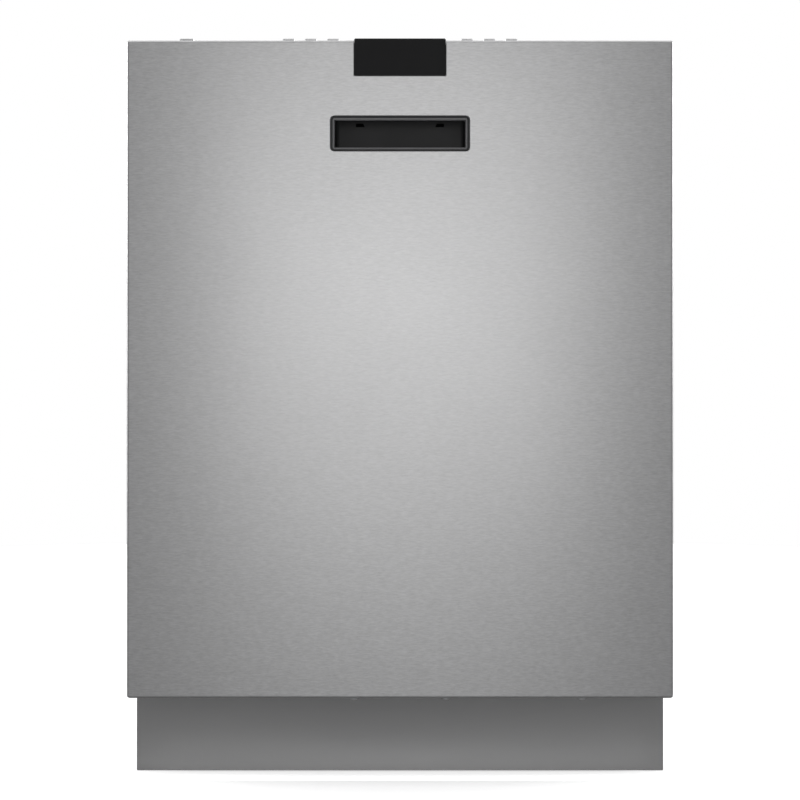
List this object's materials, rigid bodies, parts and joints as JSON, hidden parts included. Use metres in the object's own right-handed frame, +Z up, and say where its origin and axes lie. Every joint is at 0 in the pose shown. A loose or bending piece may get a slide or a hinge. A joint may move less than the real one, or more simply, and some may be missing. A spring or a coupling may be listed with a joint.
{
  "type": "built in dishwasher",
  "caption": "Built-in dishwasher with a steel door that drops open, a pocket handle, a hidden top console, racks, spray arms, pumps and a recessed toe kick.",
  "frame": {"origin": "on the floor, at the middle of the machine's width and depth, under its bounding box", "axes": "+X to the right seen from the front, +Y from the door towards the back, +Z up; the door's face is at -Y"},
  "size_m": [0.596, 0.57, 0.819],
  "materials": {
    "door_steel": "fine horizontal brushing, satin",
    "tub_steel": "smooth bright sheet",
    "zinc_steel": "galvanised sheet, dull spangle",
    "kick_paint": "grey paint, satin",
    "base_plastic": "fine grain",
    "console_plastic": "satin",
    "window_gloss": "polished black",
    "pocket_plastic": "satin black with a grey ring",
    "button_metal": "satin",
    "seal_rubber": "matte",
    "felt": "pressed fibre with a foil-free face",
    "bitumen": "bitumen and felt mat",
    "white_plastic": "satin",
    "grey_plastic": "satin",
    "arm_plastic": "satin grey",
    "hose_rubber": "corrugated",
    "filter_steel": "perforated sheet",
    "coated_wire": "nylon coated wire",
    "pcb": "solder mask",
    "pump_plastic": "moulded",
    "screw_steel": "bright zinc",
    "spring_steel": "oiled spring wire",
    "basket_plastic": "satin",
    "blue_plastic": "clear-coated",
    "foot_plastic": "moulded"
  },
  "bodies": {
    "cabinet": {"base_pan": "base_plastic", "toe_kick": "kick_paint", "tub": "tub_steel", "tub_seal": "seal_rubber", "insulation_blanket": "felt", "side_frames": "zinc_steel", "top_brackets": "zinc_steel", "door_springs": "spring_steel", "door_strike": "tub_steel", "sump": "pump_plastic", "filter_plate": "filter_steel", "circulation_pump": "pump_plastic", "water_heater": "tub_steel", "drain_pump": "pump_plastic", "drain_hose": "hose_rubber", "inlet_valve": "white_plastic", "fill_hoses": "hose_rubber", "air_break_chamber": "white_plastic", "junction_box": "zinc_steel", "supply_pipe": "arm_plastic", "rack_rails": "tub_steel", "cabinet_screws": "screw_steel"},
    "door": {"door_panel": "door_steel", "door_liner": "tub_steel", "door_insulation": "bitumen", "console": "console_plastic", "display_window": "window_gloss", "handle_pocket": "pocket_plastic", "hinge_arms": "zinc_steel", "latch_housing": "grey_plastic", "control_board": "pcb", "dispenser": "grey_plastic", "door_screws": "screw_steel"},
    "lower_rack": {"lower_rack": "coated_wire", "cutlery_basket": "basket_plastic"},
    "front_left_foot": {"front_left_foot": "foot_plastic"},
    "front_right_foot": {"front_right_foot": "foot_plastic"},
    "rear_left_foot": {"rear_left_foot": "foot_plastic"},
    "rear_right_foot": {"rear_right_foot": "foot_plastic"},
    "micro_filter": {"micro_filter": "white_plastic"},
    "pump_impeller": {"pump_impeller": "white_plastic"},
    "drain_impeller": {"drain_impeller": "white_plastic"},
    "float": {"float": "white_plastic"},
    "lower_spray_arm": {"lower_spray_arm": "arm_plastic"},
    "top_spray_arm": {"top_spray_arm": "arm_plastic"},
    "upper_spray_arm": {"upper_spray_arm": "arm_plastic"},
    "rail_slides": {"rail_slides": "tub_steel"},
    "upper_rack": {"upper_rack": "coated_wire"},
    "lower_front_wheels": {"lower_front_wheels": "grey_plastic"},
    "lower_rear_wheels": {"lower_rear_wheels": "grey_plastic"},
    "latch_catch": {"latch_catch": "tub_steel"},
    "detergent_lid": {"detergent_lid": "grey_plastic"},
    "rinse_aid_cap": {"rinse_aid_cap": "blue_plastic"},
    "power_button": {"power_button": "button_metal"},
    "button_1": {"button_1": "button_metal"},
    "button_2": {"button_2": "button_metal"},
    "button_3": {"button_3": "button_metal"},
    "button_4": {"button_4": "button_metal"},
    "button_5": {"button_5": "button_metal"},
    "button_6": {"button_6": "button_metal"}
  },
  "joints": [
    {"name": "door_hinge", "type": "hinge", "parent": "cabinet", "child": "door", "pos_m": [0, -0.27, 0.118], "axis": [1, 0, 0], "range_deg": [0, 90], "deforming": ["door_springs"]},
    {"name": "rail_slide_travel", "type": "slide", "parent": "cabinet", "child": "rail_slides", "axis": [0, -1, 0], "range_m": [0, 0.24]},
    {"name": "upper_rack_travel", "type": "slide", "parent": "cabinet", "child": "upper_rack", "axis": [0, -1, 0], "range_m": [0, 0.48]},
    {"name": "lower_rack_travel", "type": "slide", "parent": "cabinet", "child": "lower_rack", "axis": [0, -1, 0], "range_m": [0, 0.18]},
    {"name": "front_wheel_spin", "type": "hinge", "parent": "lower_rack", "child": "lower_front_wheels", "pos_m": [0, -0.08, 0.1763], "axis": [1, 0, 0], "range_deg": [0, 560]},
    {"name": "rear_wheel_spin", "type": "hinge", "parent": "lower_rack", "child": "lower_rear_wheels", "pos_m": [0, 0.1836, 0.1763], "axis": [1, 0, 0], "range_deg": [0, 560]},
    {"name": "lower_spray_arm_spin", "type": "hinge", "parent": "cabinet", "child": "lower_spray_arm", "pos_m": [0, 0.015, 0.175], "axis": [0, 0, 1], "continuous": true},
    {"name": "upper_spray_arm_spin", "type": "hinge", "parent": "upper_rack", "child": "upper_spray_arm", "pos_m": [0, 0.015, 0.415], "axis": [0, 0, 1], "continuous": true},
    {"name": "top_spray_arm_spin", "type": "hinge", "parent": "cabinet", "child": "top_spray_arm", "pos_m": [0, 0.015, 0.768], "axis": [0, 0, 1], "continuous": true},
    {"name": "pump_impeller_spin", "type": "hinge", "parent": "cabinet", "child": "pump_impeller", "pos_m": [0.09, -0.062, 0.092], "axis": [1, 0, 0], "continuous": true},
    {"name": "drain_impeller_spin", "type": "hinge", "parent": "cabinet", "child": "drain_impeller", "pos_m": [-0.085, -0.062, 0.092], "axis": [1, 0, 0], "continuous": true},
    {"name": "micro_filter_twist", "type": "hinge", "parent": "cabinet", "child": "micro_filter", "pos_m": [0, -0.062, 0.12], "axis": [0, 0, 1], "range_deg": [0, 60]},
    {"name": "float_lift", "type": "slide", "parent": "cabinet", "child": "float", "axis": [0, 0, 1], "range_m": [0, 0.008]},
    {"name": "front_left_foot_screw", "type": "slide", "parent": "cabinet", "child": "front_left_foot", "axis": [0, 0, -1], "range_m": [0, 0.045]},
    {"name": "front_right_foot_screw", "type": "slide", "parent": "cabinet", "child": "front_right_foot", "axis": [0, 0, -1], "range_m": [0, 0.045]},
    {"name": "rear_left_foot_screw", "type": "slide", "parent": "cabinet", "child": "rear_left_foot", "axis": [0, 0, -1], "range_m": [0, 0.045]},
    {"name": "rear_right_foot_screw", "type": "slide", "parent": "cabinet", "child": "rear_right_foot", "axis": [0, 0, -1], "range_m": [0, 0.045]},
    {"name": "power_button_press", "type": "slide", "parent": "door", "child": "power_button", "axis": [0, 0, -1], "range_m": [0, 0.0015], "stiffness_N_per_m": 300},
    {"name": "button_1_press", "type": "slide", "parent": "door", "child": "button_1", "axis": [0, 0, -1], "range_m": [0, 0.0015], "stiffness_N_per_m": 300},
    {"name": "button_2_press", "type": "slide", "parent": "door", "child": "button_2", "axis": [0, 0, -1], "range_m": [0, 0.0015], "stiffness_N_per_m": 300},
    {"name": "button_3_press", "type": "slide", "parent": "door", "child": "button_3", "axis": [0, 0, -1], "range_m": [0, 0.0015], "stiffness_N_per_m": 300},
    {"name": "button_4_press", "type": "slide", "parent": "door", "child": "button_4", "axis": [0, 0, -1], "range_m": [0, 0.0015], "stiffness_N_per_m": 300},
    {"name": "button_5_press", "type": "slide", "parent": "door", "child": "button_5", "axis": [0, 0, -1], "range_m": [0, 0.0015], "stiffness_N_per_m": 300},
    {"name": "button_6_press", "type": "slide", "parent": "door", "child": "button_6", "axis": [0, 0, -1], "range_m": [0, 0.0015], "stiffness_N_per_m": 300},
    {"name": "latch_catch_press", "type": "hinge", "parent": "door", "child": "latch_catch", "pos_m": [0, -0.2538, 0.792], "axis": [1, 0, 0], "range_deg": [-8, 0], "stiffness_Nm_per_rad": 0.05},
    {"name": "detergent_lid_slide", "type": "slide", "parent": "door", "child": "detergent_lid", "axis": [0, 0, 1], "range_m": [0, 0.07]},
    {"name": "rinse_aid_cap_twist", "type": "hinge", "parent": "door", "child": "rinse_aid_cap", "pos_m": [0.075, -0.23, 0.433], "axis": [0, 1, 0], "range_deg": [0, 90]}
  ],
  "couplings": [
    {"joint": "rail_slide_travel", "follows": "door_hinge", "m_per_rad": 0.15},
    {"joint": "upper_rack_travel", "follows": "door_hinge", "m_per_rad": 0.3},
    {"joint": "lower_rack_travel", "follows": "door_hinge", "m_per_rad": 0.105},
    {"joint": "front_wheel_spin", "follows": "door_hinge", "ratio": 5.8333},
    {"joint": "rear_wheel_spin", "follows": "door_hinge", "ratio": 5.8333}
  ]
}
